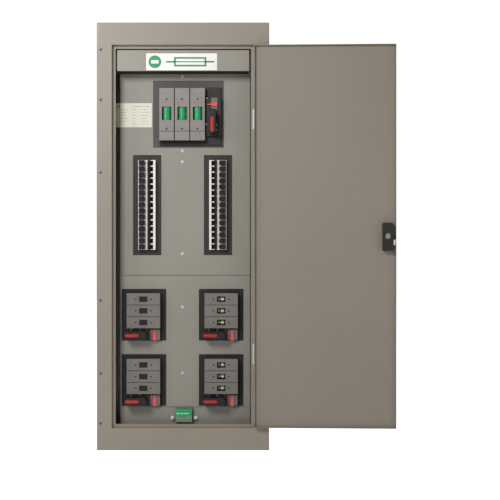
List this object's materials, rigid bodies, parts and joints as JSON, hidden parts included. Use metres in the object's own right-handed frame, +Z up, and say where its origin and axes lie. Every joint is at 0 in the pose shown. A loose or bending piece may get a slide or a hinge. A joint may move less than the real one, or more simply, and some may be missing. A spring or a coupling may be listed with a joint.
{
  "type": "fuse box panel",
  "caption": "Tall wall-mounted fuse panel: painted steel box and trim with a hinged door, and fused switches, fuse strips and a surge protector behind a dead-front.",
  "frame": {"origin": "middle of the box's back face, where it meets the wall", "axes": "+Z up; +Y from the front to the wall; +X to the right seen from the front"},
  "size_m": [0.8848, 0.1968, 1.27],
  "materials": {
    "painted_trim": "semi-gloss",
    "painted_deadfront": "satin",
    "zinc_steel": "zinc plated",
    "aluminium_bar": "mill",
    "insulator": "moulded",
    "black_plastic": "moulded",
    "grey_plastic": "moulded",
    "light_plastic": "moulded",
    "black_lever": "moulded",
    "green_plastic": "moulded",
    "green_fuse": "printed",
    "chrome": "polished"
  },
  "bodies": {
    "panel": {"enclosure_box": "painted_trim", "trim_frame": "painted_trim", "fasteners": "zinc_steel", "header_plate": "painted_deadfront", "deadfront_upper": "painted_deadfront", "deadfront_lower": "painted_deadfront", "deadfront_base": "painted_deadfront", "barrier_plates": "black_plastic", "mounting_pan": "zinc_steel", "phase_busbars": "aluminium_bar", "bar_insulators": "insulator", "din_rails": "zinc_steel", "neutral_bar": "aluminium_bar", "ground_bar": "aluminium_bar", "main_switch_base": "black_plastic", "branch_switch_bases": "black_plastic", "cartridge_fuses": "green_fuse", "left_strip_bodies": "light_plastic", "right_strip_bodies": "light_plastic", "surge_base": "grey_plastic", "surge_cartridges": "green_plastic", "hinge_frame_leaves": "zinc_steel", "hinge_pins": "zinc_steel"},
    "door": {"door_panel": "painted_trim", "hinge_door_leaves": "zinc_steel", "latch_housing": "black_plastic"},
    "latch_bolt": {"latch_bolt": "chrome"},
    "lock_cylinder": {"lock_cylinder": "chrome"},
    "main_handle": {"main_handle": "black_plastic"},
    "branch_handle_upper_left": {"branch_handle_upper_left": "black_plastic"},
    "branch_handle_upper_right": {"branch_handle_upper_right": "black_plastic"},
    "branch_handle_lower_left": {"branch_handle_lower_left": "black_plastic"},
    "branch_handle_lower_right": {"branch_handle_lower_right": "black_plastic"},
    "main_cover_left": {"main_cover_left": "grey_plastic"},
    "main_cover_middle": {"main_cover_middle": "grey_plastic"},
    "main_cover_right": {"main_cover_right": "grey_plastic"},
    "branch_cover_upper_left": {"branch_cover_upper_left": "grey_plastic"},
    "branch_cover_upper_right": {"branch_cover_upper_right": "grey_plastic"},
    "branch_cover_lower_left": {"branch_cover_lower_left": "grey_plastic"},
    "branch_cover_lower_right": {"branch_cover_lower_right": "grey_plastic"},
    "left_toggle_1": {"left_toggle_1": "black_lever"},
    "left_carrier_1": {"left_carrier_1": "black_lever"},
    "left_toggle_2": {"left_toggle_2": "black_lever"},
    "left_carrier_2": {"left_carrier_2": "black_lever"},
    "left_toggle_3": {"left_toggle_3": "black_lever"},
    "left_carrier_3": {"left_carrier_3": "black_lever"},
    "left_toggle_4": {"left_toggle_4": "black_lever"},
    "left_carrier_4": {"left_carrier_4": "black_lever"},
    "left_toggle_5": {"left_toggle_5": "black_lever"},
    "left_carrier_5": {"left_carrier_5": "black_lever"},
    "right_toggle_1": {"right_toggle_1": "black_lever"},
    "right_carrier_1": {"right_carrier_1": "black_lever"},
    "right_toggle_2": {"right_toggle_2": "black_lever"},
    "right_carrier_2": {"right_carrier_2": "black_lever"},
    "right_toggle_3": {"right_toggle_3": "black_lever"},
    "right_carrier_3": {"right_carrier_3": "black_lever"},
    "right_toggle_4": {"right_toggle_4": "black_lever"},
    "right_carrier_4": {"right_carrier_4": "black_lever"},
    "right_toggle_5": {"right_toggle_5": "black_lever"},
    "right_carrier_5": {"right_carrier_5": "black_lever"}
  },
  "joints": [
    {"name": "door_swing", "type": "hinge", "parent": "panel", "child": "door", "pos_m": [0.2099, -0.152, 0], "axis": [0, 0, 1], "range_deg": [-178, 0]},
    {"name": "bolt_slide", "type": "slide", "parent": "door", "child": "latch_bolt", "axis": [-0.9994, 0.0349, 0], "range_m": [0, 0.009], "stiffness_N_per_m": 400},
    {"name": "lock_turn", "type": "hinge", "parent": "door", "child": "lock_cylinder", "pos_m": [0.60307, -0.17974, -0.0006], "axis": [0.0349, 0.9994, 0], "range_deg": [0, 90]},
    {"name": "main_handle_turn", "type": "hinge", "parent": "panel", "child": "main_handle", "pos_m": [0.08555, -0.118, 0.3645], "axis": [0, -1, 0], "range_deg": [0, 90]},
    {"name": "branch_handle_turn_upper_left", "type": "hinge", "parent": "panel", "child": "branch_handle_upper_left", "pos_m": [-0.1194, -0.118, -0.296], "axis": [0, -1, 0], "range_deg": [0, 90]},
    {"name": "branch_handle_turn_upper_right", "type": "hinge", "parent": "panel", "child": "branch_handle_upper_right", "pos_m": [0.1144, -0.118, -0.296], "axis": [0, -1, 0], "range_deg": [0, 90]},
    {"name": "branch_handle_turn_lower_left", "type": "hinge", "parent": "panel", "child": "branch_handle_lower_left", "pos_m": [-0.1194, -0.118, -0.4935], "axis": [0, -1, 0], "range_deg": [0, 90]},
    {"name": "branch_handle_turn_lower_right", "type": "hinge", "parent": "panel", "child": "branch_handle_lower_right", "pos_m": [0.1144, -0.118, -0.4935], "axis": [0, -1, 0], "range_deg": [0, 90]},
    {"name": "main_cover_open_left", "type": "hinge", "parent": "panel", "child": "main_cover_left", "pos_m": [-0.0515, -0.1105, 0.319], "axis": [1, 0, 0], "range_deg": [0, 80]},
    {"name": "main_cover_open_middle", "type": "hinge", "parent": "panel", "child": "main_cover_middle", "pos_m": [-0.005, -0.1105, 0.319], "axis": [1, 0, 0], "range_deg": [0, 80]},
    {"name": "main_cover_open_right", "type": "hinge", "parent": "panel", "child": "main_cover_right", "pos_m": [0.0415, -0.1105, 0.319], "axis": [1, 0, 0], "range_deg": [0, 80]},
    {"name": "branch_cover_open_upper_left", "type": "hinge", "parent": "panel", "child": "branch_cover_upper_left", "pos_m": [-0.1699, -0.1105, -0.2245], "axis": [0, 0, -1], "range_deg": [0, 80]},
    {"name": "branch_cover_open_upper_right", "type": "hinge", "parent": "panel", "child": "branch_cover_upper_right", "pos_m": [0.0639, -0.1105, -0.2245], "axis": [0, 0, -1], "range_deg": [0, 80]},
    {"name": "branch_cover_open_lower_left", "type": "hinge", "parent": "panel", "child": "branch_cover_lower_left", "pos_m": [-0.1699, -0.1105, -0.422], "axis": [0, 0, -1], "range_deg": [0, 80]},
    {"name": "branch_cover_open_lower_right", "type": "hinge", "parent": "panel", "child": "branch_cover_lower_right", "pos_m": [0.0639, -0.1105, -0.422], "axis": [0, 0, -1], "range_deg": [0, 80]},
    {"name": "left_toggle_flip_1", "type": "hinge", "parent": "panel", "child": "left_toggle_1", "pos_m": [-0.10145, -0.092, 0.20383], "axis": [0, 0, 1], "range_deg": [0, 56]},
    {"name": "left_carrier_pull_1", "type": "slide", "parent": "panel", "child": "left_carrier_1", "axis": [0, -1, 0], "range_m": [0, 0.045]},
    {"name": "left_toggle_flip_2", "type": "hinge", "parent": "panel", "child": "left_toggle_2", "pos_m": [-0.10145, -0.092, 0.14968], "axis": [0, 0, 1], "range_deg": [0, 56]},
    {"name": "left_carrier_pull_2", "type": "slide", "parent": "panel", "child": "left_carrier_2", "axis": [0, -1, 0], "range_m": [0, 0.045]},
    {"name": "left_toggle_flip_3", "type": "hinge", "parent": "panel", "child": "left_toggle_3", "pos_m": [-0.10145, -0.092, 0.09552], "axis": [0, 0, 1], "range_deg": [0, 56]},
    {"name": "left_carrier_pull_3", "type": "slide", "parent": "panel", "child": "left_carrier_3", "axis": [0, -1, 0], "range_m": [0, 0.045]},
    {"name": "left_toggle_flip_4", "type": "hinge", "parent": "panel", "child": "left_toggle_4", "pos_m": [-0.10145, -0.092, 0.04138], "axis": [0, 0, 1], "range_deg": [0, 56]},
    {"name": "left_carrier_pull_4", "type": "slide", "parent": "panel", "child": "left_carrier_4", "axis": [0, -1, 0], "range_m": [0, 0.045]},
    {"name": "left_toggle_flip_5", "type": "hinge", "parent": "panel", "child": "left_toggle_5", "pos_m": [-0.10145, -0.092, -0.01277], "axis": [0, 0, 1], "range_deg": [0, 56]},
    {"name": "left_carrier_pull_5", "type": "slide", "parent": "panel", "child": "left_carrier_5", "axis": [0, -1, 0], "range_m": [0, 0.045]},
    {"name": "right_toggle_flip_1", "type": "hinge", "parent": "panel", "child": "right_toggle_1", "pos_m": [0.09145, -0.092, 0.20383], "axis": [0, 0, -1], "range_deg": [0, 56]},
    {"name": "right_carrier_pull_1", "type": "slide", "parent": "panel", "child": "right_carrier_1", "axis": [0, -1, 0], "range_m": [0, 0.045]},
    {"name": "right_toggle_flip_2", "type": "hinge", "parent": "panel", "child": "right_toggle_2", "pos_m": [0.09145, -0.092, 0.14968], "axis": [0, 0, -1], "range_deg": [0, 56]},
    {"name": "right_carrier_pull_2", "type": "slide", "parent": "panel", "child": "right_carrier_2", "axis": [0, -1, 0], "range_m": [0, 0.045]},
    {"name": "right_toggle_flip_3", "type": "hinge", "parent": "panel", "child": "right_toggle_3", "pos_m": [0.09145, -0.092, 0.09552], "axis": [0, 0, -1], "range_deg": [0, 56]},
    {"name": "right_carrier_pull_3", "type": "slide", "parent": "panel", "child": "right_carrier_3", "axis": [0, -1, 0], "range_m": [0, 0.045]},
    {"name": "right_toggle_flip_4", "type": "hinge", "parent": "panel", "child": "right_toggle_4", "pos_m": [0.09145, -0.092, 0.04138], "axis": [0, 0, -1], "range_deg": [0, 56]},
    {"name": "right_carrier_pull_4", "type": "slide", "parent": "panel", "child": "right_carrier_4", "axis": [0, -1, 0], "range_m": [0, 0.045]},
    {"name": "right_toggle_flip_5", "type": "hinge", "parent": "panel", "child": "right_toggle_5", "pos_m": [0.09145, -0.092, -0.01277], "axis": [0, 0, -1], "range_deg": [0, 56]},
    {"name": "right_carrier_pull_5", "type": "slide", "parent": "panel", "child": "right_carrier_5", "axis": [0, -1, 0], "range_m": [0, 0.045]}
  ]
}
